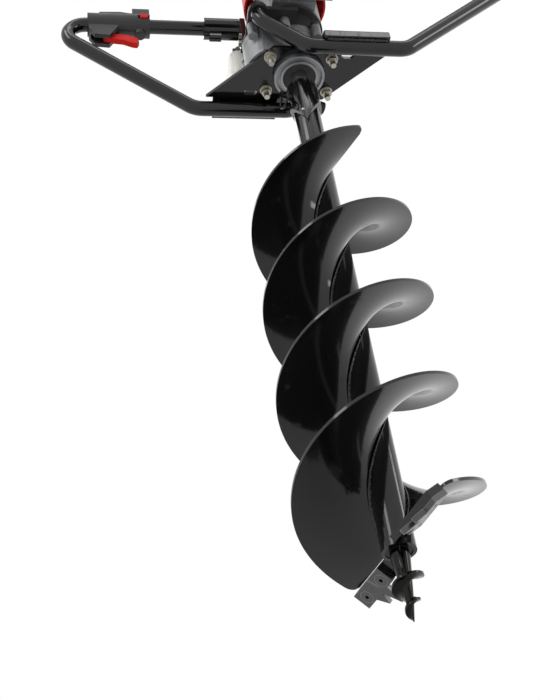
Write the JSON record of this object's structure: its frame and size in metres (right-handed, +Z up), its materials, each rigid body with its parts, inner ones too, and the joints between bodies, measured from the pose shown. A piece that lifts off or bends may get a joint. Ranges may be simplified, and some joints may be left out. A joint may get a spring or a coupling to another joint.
{
  "type": "earth auger",
  "caption": "Petrol earth auger with a twin-flight bit pinned under a two-stage gearbox, bent tube handles with a throttle grip and a small engine on top.",
  "frame": {"origin": "tip of the pilot point, on the drill axis", "axes": "+Z up along the drill axis, +X to the operator's rubber grip, +Y to the fuel tank"},
  "size_m": [0.6688, 0.2669, 1.0985],
  "materials": {
    "black_paint": "gloss",
    "steel": "satin",
    "zinc": "satin",
    "cast_aluminium": "satin",
    "bare_aluminium": "satin",
    "rubber": "matte",
    "black_plastic": "matte",
    "red_plastic": "gloss",
    "white_plastic": "matte",
    "gasket": "matte",
    "black_steel": "satin",
    "black_casting": "satin",
    "ceramic": "gloss"
  },
  "bodies": {
    "frame": {"shaft_seal": "rubber", "output_bearing": "steel", "layshaft_bearings": "steel", "input_bearing": "steel", "gearbox_housing": "cast_aluminium", "gearbox_gasket": "gasket", "gearbox_cover": "cast_aluminium", "cover_bolts": "zinc", "base_plate": "black_paint", "gearbox_studs": "zinc", "clutch_housing": "black_casting", "clutch_shoes": "steel", "frame_tube_left": "black_paint", "frame_tube_right": "black_paint", "frame_bolts": "zinc", "handle_bracket_left": "black_paint", "handle_bracket_right": "black_paint", "rubber_grip": "rubber", "grip_half_near": "black_plastic", "grip_half_far": "black_plastic", "trigger_pin": "steel", "crankcase_lower": "cast_aluminium", "crankcase_upper": "cast_aluminium", "main_bearings": "steel", "crankshaft": "steel", "connecting_rod": "steel", "piston": "bare_aluminium", "cylinder": "cast_aluminium", "spark_plug": "ceramic", "muffler": "black_steel", "carburettor": "cast_aluminium", "air_filter": "black_plastic", "fuel_tank": "white_plastic", "flywheel": "bare_aluminium", "starter_cover": "red_plastic"},
    "bit": {"bit_tube": "black_paint", "flight_a": "black_paint", "flight_b": "black_paint", "blade_holder_a": "black_paint", "blade_holder_b": "black_paint", "blade_a": "black_steel", "blade_b": "black_steel", "blade_bolts": "black_steel", "pilot_point": "black_steel", "coupling_sleeve": "black_paint", "coupling_pin": "steel", "pin_clip": "black_steel", "output_shaft": "steel", "output_gear": "steel"},
    "layshaft": {"layshaft": "steel"},
    "clutch_drum": {"input_shaft": "steel", "clutch_drum": "steel"},
    "trigger": {"trigger": "red_plastic"},
    "trigger_lock": {"trigger_lock": "black_plastic"},
    "stop_switch": {"stop_switch": "red_plastic"},
    "choke_lever": {"choke_lever": "red_plastic"},
    "primer_bulb": {"primer_bulb": "rubber"},
    "fuel_cap": {"fuel_cap": "black_plastic"},
    "starter_handle": {"starter_handle": "black_plastic"},
    "starter_pulley": {"starter_pulley": "white_plastic"}
  },
  "joints": [
    {"name": "bit_spin", "type": "hinge", "parent": "frame", "child": "bit", "pos_m": [0, 0, 0], "axis": [0, 0, 1], "continuous": true},
    {"name": "layshaft_spin", "type": "hinge", "parent": "frame", "child": "layshaft", "pos_m": [-0.036, 0, 0.9], "axis": [0, 0, 1], "continuous": true},
    {"name": "clutch_spin", "type": "hinge", "parent": "frame", "child": "clutch_drum", "pos_m": [0, 0, 0.93], "axis": [0, 0, 1], "continuous": true},
    {"name": "trigger_pull", "type": "hinge", "parent": "frame", "child": "trigger", "pos_m": [-0.266, 0.055, 1.0275], "axis": [0, -1, 0], "range_deg": [0, 12], "stiffness_Nm_per_rad": 0.3, "springref_deg": -17.19},
    {"name": "trigger_lock_press", "type": "hinge", "parent": "frame", "child": "trigger_lock", "pos_m": [-0.2145, 0.055, 1.0835], "axis": [0, -1, 0], "range_deg": [0, 6], "stiffness_Nm_per_rad": 0.2, "springref_deg": -17.19},
    {"name": "stop_switch_slide", "type": "slide", "parent": "frame", "child": "stop_switch", "axis": [1, 0, 0], "range_m": [-0.0028, 0.0028]},
    {"name": "choke_turn", "type": "hinge", "parent": "frame", "child": "choke_lever", "pos_m": [-0.065, -0.11, 1.0053], "axis": [0, 1, 0], "range_deg": [0, 70]},
    {"name": "primer_press", "type": "slide", "parent": "frame", "child": "primer_bulb", "axis": [0, 0, 1], "range_m": [0, 0.004], "stiffness_N_per_m": 400, "springref_m": -0.002},
    {"name": "fuel_cap_turn", "type": "hinge", "parent": "frame", "child": "fuel_cap", "pos_m": [-0.05, 0.095, 1.03], "axis": [0, 0, 1], "range_deg": [0, 360]},
    {"name": "starter_pull", "type": "slide", "parent": "frame", "child": "starter_handle", "axis": [0, 1, 0], "range_m": [0, 0.5], "stiffness_N_per_m": 20, "springref_m": -0.3},
    {"name": "starter_pulley_spin", "type": "hinge", "parent": "frame", "child": "starter_pulley", "pos_m": [0, 0, 1.07], "axis": [0, 0, 1], "range_deg": [0, 900]}
  ],
  "couplings": [
    {"joint": "layshaft_spin", "follows": "bit_spin", "ratio": -5},
    {"joint": "clutch_spin", "follows": "bit_spin", "ratio": 25},
    {"joint": "starter_pulley_spin", "follows": "starter_pull", "rad_per_m": 29.4}
  ]
}
